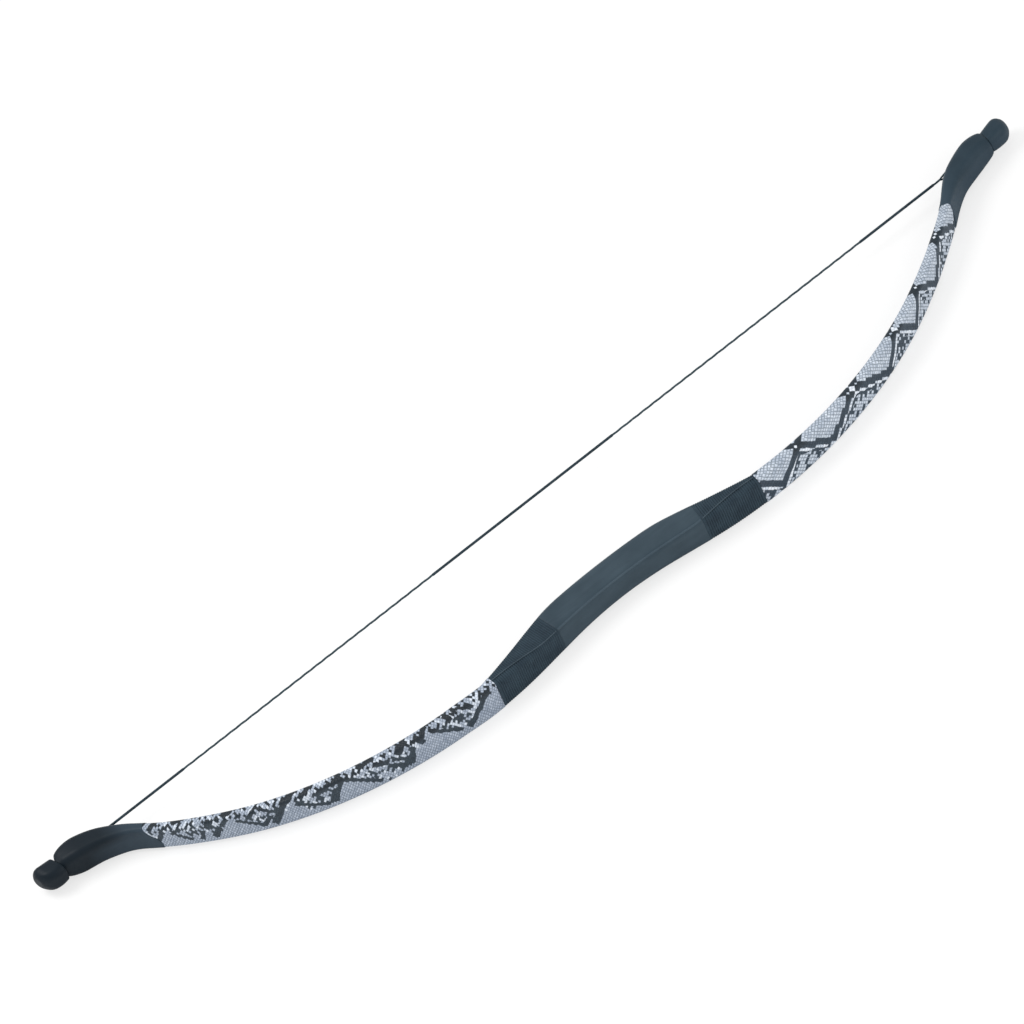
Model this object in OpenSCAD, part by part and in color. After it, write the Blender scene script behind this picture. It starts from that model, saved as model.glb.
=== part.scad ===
// A strung recurve bow with stiff hooked tips, lying on its side.
// X runs along the bow, Y from the back of the bow to the string, Z across the width.
// The origin is the middle of the handle.

/* [Handle] */
// Length of the leather grip above the middle of the handle
grip_up = 109; // [90:1:115]
// Length of the leather grip below the middle of the handle
grip_down = 81; // [70:1:100]
// Width of the handle under the leather, at its middle
handle_mid_w = 28; // [24:0.2:30]
// Width of the handle under the cord bindings
handle_end_w = 32.4; // [31:0.2:33]
// Height of the wooden riser on the belly side
riser_h = 21; // [12:0.5:26]
// Half length over which the riser keeps its full height
riser_flat = 66; // [55:1:100]
// Half length of the handle, from its middle to the outer end of the wrap
handle_half = 178; // [172:0.5:178]
// Corner radius of the handle at its middle
handle_corner = 6.5; // [5:0.5:8]
// Corner radius of the handle at its ends
handle_end_corner = 3; // [2.6:0.1:3.4]
// Half length over which the handle widens
widen_len = 151; // [135:1:165]
// Wall of the cloth wrap over the riser and the limbs
wrap_wall = 0.8; // [0.6:0.1:1.2]
// Thickness of the grip leather
leather_t = 1.6; // [1:0.1:2.4]
// Width of the seam along the grip
seam_w = 2.4; // [1.5:0.1:3]
// Height of the seam over the leather
seam_h = 0.7; // [0.4:0.1:1]

/* [Cord bindings] */
// Length of the limb's skin that shows on the handle below the lower binding
skin_root_len = 11; // [8:1:20]
// Width of the wound cord, flattened by its own pull
cord_w = 2.4; // [1.6:0.1:2.4]
// Height of the wound cord
cord_h = 1.5; // [1:0.1:1.8]
// Pitch of the upper binding
pitch_up = 2.95; // [2.85:0.05:4]
// Pitch of the lower binding
pitch_down = 3.55; // [2.85:0.05:4]

/* [Shape of the strung limb] */
// Length of the arched middle of the handle
arch_len = 70; // [60:1:80]
// Turn of that arch, away from the string
arch_turn = 8; // [6:0.1:10]
// Straight length after the arch
run_len = 40; // [30:1:50]
// Length over which the limb leaves the handle
fade_len = 90; // [85:1:100]
// Turn of the limb there, back towards the string
fade_turn = 8.9; // [6:0.1:11]
// Length of the inner part of the limb
inner_len = 170; // [150:1:185]
// Turn of the inner part of the limb
inner_turn = 20.7; // [18:0.1:24]
// Length of the outer part of the limb
outer_len = 175; // [160:1:190]
// Turn of the outer part of the limb
outer_turn = 22.2; // [19:0.1:25]
// Length of the knee, where the limb enters the tip
knee_len = 55; // [48:1:62]
// Turn of the knee, away from the string
knee_turn = 7; // [2:0.1:9]
// Length of the bend within the tip
hook_len = 43.5; // [40:0.5:54]
// Turn of that bend, away from the string
hook_turn = 32.3; // [28:0.1:38]

/* [Limb section] */
// Width of the laminations at the root of the limb
stave_root_w = 34.2; // [32:0.2:35]
// Width of the laminations at the tip
stave_tip_w = 27.2; // [22:0.2:28]
// Thickness of the laminations at the root
stave_root_t = 10.5; // [9:0.1:12]
// Thickness of the laminations at the tip
stave_tip_t = 8.1; // [6.5:0.1:9]
// Thickness of each fibreglass lamination
glass_t = 1.8; // [1.2:0.1:2.4]
// Thickness of the snakeskin sleeve on the broad faces
skin_wall = 1.2; // [0.8:0.1:1.8]
// Thickness of the snakeskin sleeve at the limb's edges
skin_edge = 1.75; // [1.4:0.05:2.2]
// Corner radius of the sleeve
skin_corner = 3.4; // [2.5:0.1:4]

/* [Tip] */
// Reach of the tip's socket past the start of the knee
socket_start = 18; // [14:1:24]
// Depth of the socket over the end of the limb
socket_depth = 20; // [14:1:26]
// Setback of the socket's mouth on the broad faces, on average
mouth_setback = 13; // [8:0.5:14]
// Slant of the mouth across the broad faces, each way from that average
mouth_slant = 5; // [0:0.5:6]
// Thickness of the socket's lip
tip_lip = 0.6; // [0.4:0.1:1]
// Share of the tip's length at which it is fullest
tip_full = 0.8; // [0.6:0.02:0.86]
// Width of the tip at its fullest
tip_w = 32.5; // [29:0.5:34]
// Depth of the tip at its fullest
tip_d = 28.5; // [24:0.5:30]
// Corner radius of the tip at its fullest
tip_corner = 6.5; // [5:0.5:10]
// Inset of the tip's shoulder from its fullest section
shoulder_in = 3.5; // [1:0.25:4]
// Length of the tip between its bend and the groove
shoulder_len = 15; // [12:0.5:18]
// Turn of the tip there, away from the string
end_turn = 5; // [0:0.5:12]
// Diameter of the neck that the loop sits on
neck_d = 15; // [12:0.5:17]
// Width of the groove round the neck
groove_w = 4; // [4:0.25:8]
// Width of the end knob across its flats
knob_d = 27.5; // [24:0.5:29]
// Length of the end knob
knob_len = 25.5; // [20:0.5:28]
// Inset of the knob's end faces from its widest section
knob_ease = 3.5; // [1.5:0.25:4.5]
// Rise of the knob's middle over the limb's middle line, towards the string
knob_rise = 3; // [0:0.25:4]
// Corner radius of the knob
knob_corner = 8; // [5:0.5:9.5]

/* [String] */
// Distance of the string from the middle of the neck, towards the archer
string_rise = 4.2; // [3:0.1:6]
// Diameter of the bare strands
strand_d = 2.4; // [1.8:0.1:2.8]
// Diameter over the servings
serving_d = 3; // [2.6:0.1:3.6]
// Length of the string's loops
loop_len = 56; // [45:1:65]
// Bare length of the string between the loop and the end serving
throat_len = 8; // [4:1:14]
// Reach of each end serving from the neck
end_serving = 166; // [120:1:200]
// Reach of the centre serving from the middle of the string, each way
centre_serving = 118; // [90:1:140]

/* [Draw] */
// Distance of the bending point from the end of the handle, along the limb
hinge_room = 6; // [6:0.5:10]
// Clearance between pieces that move against each other
gap = 0.3; // [0.2:0.05:0.5]
// Reach of each half of the string past the middle
lap = 8; // [4:1:10]
// Length before the middle over which each half leaves room for the other as the string bends
lap_relief = 34; // [33:1:40]

/* [Hidden] */
$fn = 48;

LIMB_ARCS = [[arch_len, -arch_turn], [run_len, 0], [fade_len, fade_turn], [inner_len, inner_turn],
    [outer_len, outer_turn], [knee_len, -knee_turn], [hook_len, -hook_turn],
    [shoulder_len + groove_w, -end_turn], [2 * knob_len, 0]];
// Middle of the laminations at the middle of the handle, so that the handle is centred on the origin
stave_y = -riser_h / 2;
pivot_run = handle_half + hinge_room;
limb_end = arch_len + run_len + fade_len + inner_len + outer_len;
mouth_run = limb_end + socket_start;
socket_end = mouth_run + socket_depth;
hook_end = limb_end + knee_len + hook_len;
neck_run = hook_end + shoulder_len + groove_w / 2;
// Length of a step along the limb
station = 8;
// Clearance between glued pieces, and corner radius of the bores that hold the laminations
fit = 0.12;
bore_corner = 0.3;
// How far a piece runs into the one that it is one with
sunk = 1;
// Room that cutting shapes keep around what they cut
margin = 5;
// Inset that a square corner keeps from the facets of a round one
corner_room = 0.5;
// Exponents of the riser's fade towards its ends, of the tip's shoulder and of the knob's ends
RISER_CURVE = 1.12;
SHOULDER_CURVE = 3;
KNOB_CURVE = 2.5;
// Exponent of the arch of the tip's mouth
MOUTH_CURVE = 3;
// Height of the wound cord over the wrap, and the corner of the handle where each winding starts
CORD_LIFT = 0.15;
CORD_START = 7;
rock_r = stave_root_t / 2;
// How far the hollowed ends of the handle's laminations stop short of the bending point
lip_back = sqrt(pow(rock_r + gap, 2) - pow(stave_root_t / 2, 2));
skin_start = pivot_run + rock_r / 2;
neck = pose(neck_run);
string_y = neck[1] + string_rise;
loop_r = neck_d / 2 + gap + serving_d / 2;

// Place and heading after an arc of a length and a turn
function along(p, len, turn) = abs(turn) < 0.001
    ? [p[0] + len * cos(p[2]), p[1] + len * sin(p[2]), p[2]]
    : let (r = len / turn * 180 / PI)
        [p[0] + r * (sin(p[2] + turn) - sin(p[2])), p[1] - r * (cos(p[2] + turn) - cos(p[2])), p[2] + turn];
function walk(s, i, p) = s <= LIMB_ARCS[i][0] || i == len(LIMB_ARCS) - 1
    ? along(p, s, LIMB_ARCS[i][1] * s / LIMB_ARCS[i][0])
    : walk(s - LIMB_ARCS[i][0], i + 1, along(p, LIMB_ARCS[i][0], LIMB_ARCS[i][1]));
// Place and heading of the limb's middle line, signed for the lower half
function pose(s) = let (p = walk(abs(s), 0, [0, stave_y, 0])) s < 0 ? [-p[0], p[1], -p[2]] : p;
// A point off that line: n towards the string, z across the width
function at(s, n, z) = let (p = pose(s)) [p[0] - n * sin(p[2]), p[1] + n * cos(p[2]), z];

function mix(a, b, f) = a + (b - a) * min(1, max(0, f));
function ease(f) = let (c = min(1, max(0, f))) c * c * (3 - 2 * c);
function limb_share(s) = (abs(s) - pivot_run) / (limb_end - pivot_run);
function stave_t(s) = mix(stave_root_t, stave_tip_t, limb_share(s));
function stave_w(s) = mix(stave_root_w, stave_tip_w, limb_share(s));
function riser_at(s) = riser_h * (abs(s) <= riser_flat ? 1
    : 1 - pow(min(1, (abs(s) - riser_flat) / (handle_half - riser_flat)), RISER_CURVE));
function handle_w(s) = mix(handle_mid_w, handle_end_w, ease(abs(s) / widen_len));
function handle_r(s) = mix(handle_corner, handle_end_corner, ease(abs(s) / handle_half));
// Inset of a square inner corner that stays inside the round corner of the wrap
function inner_edge(r) = r - sqrt(r * r - pow(r - wrap_wall, 2)) + corner_room;
function core_w(s) = handle_w(s) - 2 * inner_edge(handle_r(s));

function stations(a, b, step) = let (n = max(1, ceil((b - a) / step))) [for (i = [0:n]) a + (b - a) * i / n];
// The stations that all the handle's pieces share, cut off at a reach each way
function handle_stops(reach) = let (shared = concat(stations(-handle_half, -grip_down, station), grip_stops(),
        stations(grip_up, handle_half, station)))
    concat([-reach], [for (i = [1:len(shared) - 1])
        if (shared[i] > shared[i - 1] && abs(shared[i]) < reach - 0.01) shared[i]], [reach]);
function grip_stops() = stations(-grip_down, grip_up, station);

// Point k of 16 on a rectangle with round corners, as [z, n], and the way out from it
function corner_angle(k) = 90 * floor((k % 16) / 4) + 30 * (k % 4);
function corner_sign(k) = let (c = floor((k % 16) / 4)) [c == 0 || c == 3 ? 1 : -1, c < 2 ? 1 : -1];
function rounded(hw, hd, r, k) = let (a = corner_angle(k), q = corner_sign(k))
    [q[0] * (hw - r) + r * cos(a), q[1] * (hd - r) + r * sin(a)];
function ring(s, hw, hd, r, mid) = [for (k = [0:15]) let (q = rounded(hw, hd, r, k)) at(s, mid + q[1], q[0])];

function handle_ring(s, grow) = ring(s, handle_w(s) / 2 + grow, (stave_root_t + riser_at(s)) / 2 + wrap_wall + grow,
    handle_r(s) + grow, riser_at(s) / 2);
function handle_bore(s) = ring(s, core_w(s) / 2 + fit, (stave_root_t + riser_at(s)) / 2 + fit, bore_corner,
    riser_at(s) / 2);
function skin_ring(s, grow) = ring(s, stave_w(s) / 2 + skin_edge + grow, stave_t(s) / 2 + skin_wall + grow,
    skin_corner + grow, 0);
function skin_bore(s) = ring(s, stave_w(s) / 2 + fit, stave_t(s) / 2 + fit, bore_corner, 0);

function unit(v) = v / norm(v);
function sum(v, i = 0) = i < len(v) ? v[i] + sum(v, i + 1) : 0;
function mean(ps) = [for (i = [0:2]) sum([for (p = ps) p[i]]) / len(ps)];

// A closed skin over rings of points, closed at both ends
module loft(rings, backwards = false) {
    n = len(rings[0]);
    m = len(rings);
    points = concat([for (r = rings) each r], [mean(rings[0]), mean(rings[m - 1])]);
    sides = [for (i = [0:m - 2], k = [0:n - 1])
        let (a = i * n + k, b = i * n + (k + 1) % n) each [[a, b, b + n], [a, b + n, a + n]]];
    first = [for (k = [0:n - 1]) [n * m, (k + 1) % n, k]];
    last = [for (k = [0:n - 1]) [n * m + 1, (m - 1) * n + k, (m - 1) * n + (k + 1) % n]];
    faces = concat(sides, first, last);
    polyhedron(points, backwards ? [for (f = faces) [f[2], f[1], f[0]]] : faces);
}

// A closed skin over rings that come back round to the first one
module sleeve(outer, inner) {
    n = len(outer[0]);
    m = len(outer);
    rings = concat(outer, [for (i = [m - 1:-1:0]) inner[i]]);
    faces = [for (i = [0:2 * m - 1], k = [0:n - 1])
        let (j = (i + 1) % (2 * m), a = i * n + k, b = i * n + (k + 1) % n, c = j * n + (k + 1) % n, d = j * n + k)
        each [[a, b, c], [a, c, d]]];
    polyhedron([for (r = rings) each r], faces);
}

// One lamination of the bow seen from the side, between two heights over the middle line
module lamination_side(stops, low, high) {
    polygon(concat([for (s = stops) let (p = at(s, low(s), 0)) [p[0], p[1]]],
        [for (i = [len(stops) - 1:-1:0]) let (p = at(stops[i], high(stops[i]), 0)) [p[0], p[1]]]));
}

// Plan of the limb or of the handle, so that its width tapers
module plan(stops, width) {
    rotate([90, 0, 0]) linear_extrude(height = 4 * neck[1], center = true)
        polygon(concat([for (s = stops) [pose(s)[0], width(s) / 2]],
            [for (i = [len(stops) - 1:-1:0]) [pose(stops[i])[0], -width(stops[i]) / 2]]));
}

module at_pivot() {
    p = pose(pivot_run);
    translate([p[0], p[1]]) children();
}

// A handle lamination: hollowed at both ends where the limbs rock in it
module handle_lamination(low, high) {
    reach = pivot_run - lip_back;
    stops = handle_stops(reach);
    intersection() {
        linear_extrude(height = 2 * stave_root_w, center = true) difference() {
            lamination_side(stops, low, high);
            at_pivot() circle(r = rock_r + gap);
            mirror([1, 0]) at_pivot() circle(r = rock_r + gap);
        }
        plan(concat([-pivot_run - margin], stops, [pivot_run + margin]), function (s) core_w(s));
    }
}

module riser_block() {
    reach = handle_half - margin;
    color("#8a6a48") intersection() {
        linear_extrude(height = 2 * stave_root_w, center = true)
            lamination_side(handle_stops(reach),
                function (s) stave_root_t / 2, function (s) stave_root_t / 2 + riser_at(s));
        plan(handle_stops(reach + 1), function (s) core_w(s));
    }
}

module handle_back_glass() {
    color("#c9c7bb") handle_lamination(function (s) -stave_root_t / 2, function (s) glass_t - stave_root_t / 2);
}

module handle_core() {
    color("#b08a5e") handle_lamination(function (s) glass_t - stave_root_t / 2,
        function (s) stave_root_t / 2 - glass_t);
}

module handle_belly_glass() {
    color("#c9c7bb") handle_lamination(function (s) stave_root_t / 2 - glass_t, function (s) stave_root_t / 2);
}

module handle_wrap() {
    stops = handle_stops(handle_half);
    color("#26303a") sleeve([for (s = stops) handle_ring(s, 0)], [for (s = stops) handle_bore(s)]);
}

module grip_leather() {
    stops = grip_stops();
    color("#434e59") sleeve([for (s = stops) handle_ring(s, leather_t)],
        [for (s = stops) handle_ring(s, fit / 2)]);
}

// The seam: a flat ridge that follows the grip's corner between its side and its back
module grip_seam() {
    corner = 13;
    half = seam_w / 2;
    lift = 0.05;
    function lace(s) = let (c = handle_ring(s, leather_t)[corner], d = handle_ring(s, leather_t)[corner + 1],
        t = unit(at(s + 1, 0, 0) - at(s - 1, 0, 0)), w = unit(d - c), out = cross(t, w),
        mid = (c + d) / 2 + out * lift)
        [mid - w * half, mid - w * half / 2 + out * seam_h, mid + w * half / 2 + out * seam_h, mid + w * half];
    color("#5a6874") loft([for (s = grip_stops()) lace(s)]);
}

// Middle points of a wound cord, each with the way out from the surface under it
function winding(start, length, turns) = let (rise = cord_h / 2 + CORD_LIFT, count = 16 * turns,
        spot = function (i) let (k = CORD_START + i, s = start + length * i / count, r = handle_ring(s, 0),
            out = at_out(s, k)) [r[k % 16] + out * rise, out])
    [for (i = [0:count]) i == 0 ? halfway(spot(0), spot(1)) : i == count ? halfway(spot(count - 1), spot(count))
        : spot(i)];
function halfway(a, b) = [(a[0] + b[0]) / 2, unit(a[1] + b[1])];
function at_out(s, k) = let (a = corner_angle(k), h = pose(s)[2]) [-sin(h) * sin(a), cos(h) * sin(a), cos(a)];

function cord_rings(path) = [for (i = [0:len(path) - 1])
    let (p = path[i][0], out = path[i][1],
        t = unit(path[min(i + 1, len(path) - 1)][0] - path[max(i - 1, 0)][0]), side = unit(cross(t, out)))
    [for (k = [0:5]) p + out * cord_h / 2 * cos(60 * k) + side * cord_w / 2 * sin(60 * k)]];
function least(v, i = 0, best = 1e9) = i < len(v) ? least(v, i + 1, min(best, v[i])) : best;
function self_gap(rings) = least([for (i = [0:len(rings) - 17], a = [0:5], b = [0:5])
    norm(rings[i][a] - rings[i + 16][b])]);

module binding(start, length, pitch, label) {
    run = length - cord_w - 2 * corner_room;
    rings = cord_rings(winding(start + (length - run) / 2, run, floor(run / pitch)));
    echo(str("least gap of ", label, " to itself, mm: "), self_gap(rings));
    color("#2c3640") loft(rings, true);
}

module upper_binding() {
    binding(grip_up, handle_half - grip_up, pitch_up, "upper_binding");
}

module lower_binding() {
    start = skin_root_len - handle_half;
    binding(start, -grip_down - start, pitch_down, "lower_binding");
}

module lower_skin_root() {
    stops = stations(sunk - handle_half, skin_root_len - handle_half - corner_room, station / 2);
    wide = stave_root_w / 2 + skin_edge;
    thick = stave_root_t / 2 + skin_wall;
    color("#c2ccdb") sleeve(
        [for (s = stops) ring(s, wide, thick + riser_at(s) / 2, skin_corner, riser_at(s) / 2)],
        [for (s = stops) handle_ring(s, fit)]);
}

// A limb lamination, with the round root that rocks in the handle
module limb_lamination(low, high) {
    stops = stations(pivot_run, socket_end, station);
    intersection() {
        linear_extrude(height = 2 * stave_root_w, center = true) intersection() {
            lamination_side(concat([pivot_run - rock_r - 1], stops), low, high);
            union() {
                at_pivot() circle(r = rock_r);
                lamination_side(stops, function (s) -stave_t(s), function (s) stave_t(s));
            }
        }
        plan(concat([pivot_run - rock_r - margin], stops, [socket_end + margin]), function (s) stave_w(s));
    }
}

module back_glass() {
    color("#c9c7bb") limb_lamination(function (s) -stave_t(s) / 2, function (s) glass_t - stave_t(s) / 2);
}

module core() {
    color("#b08a5e") limb_lamination(function (s) glass_t - stave_t(s) / 2, function (s) stave_t(s) / 2 - glass_t);
}

module belly_glass() {
    color("#c9c7bb") limb_lamination(function (s) stave_t(s) / 2 - glass_t, function (s) stave_t(s) / 2);
}

module skin() {
    stops = stations(skin_start, socket_end, 2 * station);
    color("#c2ccdb") sleeve([for (s = stops) skin_ring(s, 0)], [for (s = stops) skin_bore(s)]);
}

// Fullness of the tip along its length, 0 at the socket's mouth and 1 at the neck
function tip_share(s) = (s - mouth_run) / (neck_run - groove_w / 2 - mouth_run);
function shoulder(f) = shoulder_in * pow(max(0, f - tip_full) / (1 - tip_full), SHOULDER_CURVE);
function tip_ring(starts, f) = [for (k = [0:15]) let (s = mix(starts[k], neck_run - groove_w / 2, f),
        g = tip_share(s), swell = ease(g / tip_full),
        hw = mix(stave_w(s) / 2 + skin_edge + tip_lip, tip_w / 2, swell) - shoulder(g),
        hd = mix(stave_t(s) / 2 + skin_wall + tip_lip, tip_d / 2, swell) - shoulder(g),
        r = min(mix(skin_corner + tip_lip, tip_corner, swell), 0.95 * min(hw, hd)), q = rounded(hw, hd, r, k))
    at(s, q[1], q[0])];
// The mouth is arched at both edges of the limb and slants across its broad faces
function mouth_starts() = [for (k = [0:15]) let (q = rounded(1, 1, 0.3, k))
    mouth_run - pow(abs(q[1]), MOUTH_CURVE) * (mouth_setback - mouth_slant * q[0])];

// The knob swells from the groove and rises towards the string as it goes
function knob_ring(f) = let (half = knob_d / 2 - knob_ease * pow(abs(2 * f - 1), KNOB_CURVE))
    ring(neck_run + groove_w / 2 + knob_len * f, half, half, min(knob_corner, 0.95 * half), knob_rise * (0.5 + f));

module tip() {
    starts = mouth_starts();
    bores = [for (f = [1, 0.5, 0]) [for (k = [0:15]) let (s = mix(starts[k], socket_end + gap, f),
        q = rounded(stave_w(s) / 2 + skin_edge + fit, stave_t(s) / 2 + skin_wall + fit, skin_corner, k))
        at(s, q[1], q[0])]];
    color("#2d3742") difference() {
        union() {
            loft(concat(bores, [for (i = [0:14]) tip_ring(starts, 1 - pow(1 - i / 14, 1.5))]));
            along_tip(neck_run - groove_w / 2 - sunk) cylinder(d = neck_d, h = groove_w + 2 * sunk);
            loft([for (i = [0:8]) knob_ring(i / 8)]);
        }
        string_channel();
    }
}

// Stands a piece on the limb's middle line, with its own Z running outwards
module along_tip(s) {
    p = pose(s);
    translate([p[0], p[1], 0]) rotate([0, 0, p[2]]) rotate([0, 90, 0]) children();
}

// The channel in the tip's belly that takes both legs of the loop
module string_channel() {
    wide = loop_r + serving_d / 2 + gap;
    narrow = serving_d + gap;
    mouth = 0.1 - groove_w / 2;
    translate([neck[0], string_y - serving_d / 2 - gap, 0]) rotate([-90, 0, 0]) linear_extrude(height = 2 * tip_d)
        polygon([[mouth, wide], [-loop_len, narrow], [-2 * loop_len, narrow], [-2 * loop_len, -narrow],
            [-loop_len, -narrow], [mouth, -wide]]);
}

// The bight of the string's loop, seated round the back of the neck
module loop() {
    top = string_y - serving_d / 2 - gap;
    color("#35424d") translate([neck[0], neck[1], 0]) {
        rotate([0, -90, 0]) rotate([0, 0, 180]) rotate_extrude(angle = 180) translate([loop_r, 0])
            circle(d = serving_d);
        for (side = [-1, 1]) translate([0, 0, side * loop_r]) rotate([-90, 0, 0])
            cylinder(d = serving_d, h = top - neck[1]);
    }
}

// A rod along X at the height of the string
module rod(from, to, d) {
    translate([from, string_y, 0]) rotate([0, 90, 0]) cylinder(d = d, h = to - from);
}

// What the other half of the string needs clear at the nocking point
module lap_clearance() {
    deep = 2 * serving_d;
    translate([-lap - margin, string_y - deep, -deep]) cube([lap + margin + lap_relief, 2 * deep, deep + gap / 2]);
}

module strand() {
    color("#35424d") difference() {
        union() {
            rod(-lap, neck[0] - loop_len, strand_d);
            for (side = [-1, 1]) loop_leg(side);
        }
        lap_clearance();
    }
}

// One leg of the loop, from the neck to where both legs meet
module loop_leg(side) {
    spread = atan2(loop_r, loop_len);
    translate([neck[0], string_y, side * loop_r]) {
        sphere(d = serving_d);
        rotate([0, -90 - side * spread, 0]) cylinder(d = serving_d, h = norm([loop_r, loop_len]));
    }
}

module end_serving_tube() {
    color("#2a343e") difference() {
        rod(neck[0] - end_serving, neck[0] - loop_len - throat_len, serving_d);
        rod(neck[0] - end_serving - 1, neck[0] - loop_len, strand_d);
    }
}

module centre_serving_tube() {
    color("#2a343e") difference() {
        rod(-lap, centre_serving, serving_d);
        rod(-lap - 1, centre_serving + 1, strand_d);
        lap_clearance();
    }
}

// Mirrors a piece of the upper half to the lower half
module below() {
    mirror([1, 0, 0]) children();
}

// Also turns it over, so that the two halves of the string lie side by side
module below_turned() {
    mirror([1, 0, 0]) mirror([0, 0, 1]) children();
}

riser_block();
handle_back_glass();
handle_core();
handle_belly_glass();
handle_wrap();
grip_leather();
grip_seam();
upper_binding();
lower_binding();
lower_skin_root();
back_glass();  // upper_back_glass
core();  // upper_core
belly_glass();  // upper_belly_glass
skin();  // upper_skin
tip();  // upper_tip
loop();  // upper_loop
below() back_glass();  // lower_back_glass
below() core();  // lower_core
below() belly_glass();  // lower_belly_glass
below() skin();  // lower_skin
below() tip();  // lower_tip
below() loop();  // lower_loop
strand();  // upper_strand
end_serving_tube();  // upper_end_serving
centre_serving_tube();  // upper_centre_serving
below_turned() strand();  // lower_strand
below_turned() end_serving_tube();  // lower_end_serving
below_turned() centre_serving_tube();  // lower_centre_serving
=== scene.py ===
import math
import bpy
import numpy as np
from mathutils import Matrix, Vector


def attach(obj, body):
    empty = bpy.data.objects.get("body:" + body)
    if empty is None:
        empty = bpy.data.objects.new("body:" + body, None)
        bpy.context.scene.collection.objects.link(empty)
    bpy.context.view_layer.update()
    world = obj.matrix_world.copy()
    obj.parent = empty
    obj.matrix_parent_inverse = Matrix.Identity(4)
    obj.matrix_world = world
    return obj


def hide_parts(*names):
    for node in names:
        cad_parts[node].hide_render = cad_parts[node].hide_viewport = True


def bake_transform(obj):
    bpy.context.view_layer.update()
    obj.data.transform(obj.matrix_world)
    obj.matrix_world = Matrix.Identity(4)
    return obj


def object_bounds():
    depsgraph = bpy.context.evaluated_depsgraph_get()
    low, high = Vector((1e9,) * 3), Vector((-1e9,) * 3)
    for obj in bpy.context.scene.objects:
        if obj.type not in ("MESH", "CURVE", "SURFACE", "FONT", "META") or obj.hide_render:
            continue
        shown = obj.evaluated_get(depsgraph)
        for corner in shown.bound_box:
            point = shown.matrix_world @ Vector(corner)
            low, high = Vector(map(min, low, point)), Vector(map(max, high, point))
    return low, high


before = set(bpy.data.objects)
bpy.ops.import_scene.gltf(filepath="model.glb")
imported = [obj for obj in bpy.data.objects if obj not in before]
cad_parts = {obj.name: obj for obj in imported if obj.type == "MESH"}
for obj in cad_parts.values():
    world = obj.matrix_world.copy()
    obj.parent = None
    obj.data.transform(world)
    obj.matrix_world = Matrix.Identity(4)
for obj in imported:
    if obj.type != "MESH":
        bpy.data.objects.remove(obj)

cad_box = [list(corner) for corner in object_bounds()]
MM = 0.001
SIDES = {"upper": 1, "lower": -1}

# Driving sizes of the bow, in millimetres and degrees. A run is a distance along the limb's middle line from the
# bow's middle, and of two sizes in a pair the first is for the root and the second for the outer end.
# Arcs of the middle line: (length, turn)
LIMB_ARCS = [(70, -8), (40, 0), (90, 8.9), (170, 20.7), (175, 22.2), (55, -7), (43.5, -32.3), (19, -5), (60, 0)]
LIMB_COUNT, HOOK_COUNT = 5, 7
RISER_H, RISER_FLAT, RISER_CURVE = 21, 66, 1.12
HANDLE_HALF, GRIP_UP, GRIP_DOWN, ROOT_LEN = 178, 109, 81, 11
HANDLE_W, HANDLE_R, WIDEN_LEN, WRAP_WALL, LEATHER_T = (28, 32.4), (6.5, 3), 151, 0.8, 1.6
STAVE_W, STAVE_T, GLASS_T = (34.2, 27.2), (10.5, 8.1), 1.8
SKIN_WALL, SKIN_EDGE, SKIN_CORNER = 1.2, 1.75, 3.4
CORD_W, CORD_H, CORD_PITCH = 2.5, 1.5, 2.5
TIP_LIP, LIP_BEVEL, SOCKET_DEPTH, SHOULDER_MOST = 0.6, 0.35, 20, 5.4
# Each tip's body: width, depth, corner and the share of its length over which it swells; then the run over
# which it draws in again at its end, by how much across and in depth, and how roundly
TIP_SIZES = {"upper": (32.2, 27.8, 9, 0.9), "lower": (33.3, 29.3, 8, 0.8)}
SHOULDERS = {"upper": (22, 4.6, 2.4, 1.5), "lower": (26.5, 7.2, 7.2, 2)}
# The neck, its groove, and how far the rims of the body and of the knob reach into the groove
NECK_D, GROOVE_W = 15, 4
RIMS = {"upper": (3.5, 0), "lower": (0, 3.3)}
# Each knob: length, start, growth and bend of its half width, length and depth of the round at its end
KNOBS = {"upper": (27.5, 10.7, 4.3, -3, 11, 8), "lower": (22.6, 12.3, 3.2, -3.6, 10, 7)}
KNOB_CORNER = 8.5
# How far each tip's end slants outwards for each mm towards the string, growing over a short run
END_TILTS, TILT_RUN = {"upper": 0, "lower": 0.21}, 24
STRING_RISE, STRAND_D, SERVING_D, THROAT_LEN = 4.2, 2.4, 3, 8
LOOP_LENS = {"upper": 61, "lower": 56}
END_SERVING, CENTRE_SERVING, GAP, FIT = 166, 118, 0.3, 0.12

LIMB_END = sum(length for length, turn in LIMB_ARCS[:LIMB_COUNT])
PIVOT_RUN = HANDLE_HALF + 6
MOUTH_RUN = LIMB_END + 18
SOCKET_END = MOUTH_RUN + SOCKET_DEPTH
BODY_END = sum(length for length, turn in LIMB_ARCS[:HOOK_COUNT]) + 15
NECK_RUN = BODY_END + GROOVE_W / 2
KNOB_RUN = BODY_END + GROOVE_W
LOOP_R = NECK_D / 2 + GAP + SERVING_D / 2

# The limb's middle line with its headings, stepped finely once and read by interpolation
STEP = 0.1
arc_ends = np.cumsum([0] + [length for length, turn in LIMB_ARCS])
arc_heads = np.cumsum([0] + [turn for length, turn in LIMB_ARCS])
line_runs = np.arange(0, arc_ends[-1], STEP)
line_heads = np.radians(np.interp(line_runs, arc_ends, arc_heads))
mid_heads = (line_heads[1:] + line_heads[:-1]) / 2
line_x = np.concatenate([[0], np.cumsum(np.cos(mid_heads) * STEP)])
line_y = np.concatenate([[0], np.cumsum(np.sin(mid_heads) * STEP)]) - RISER_H / 2


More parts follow.
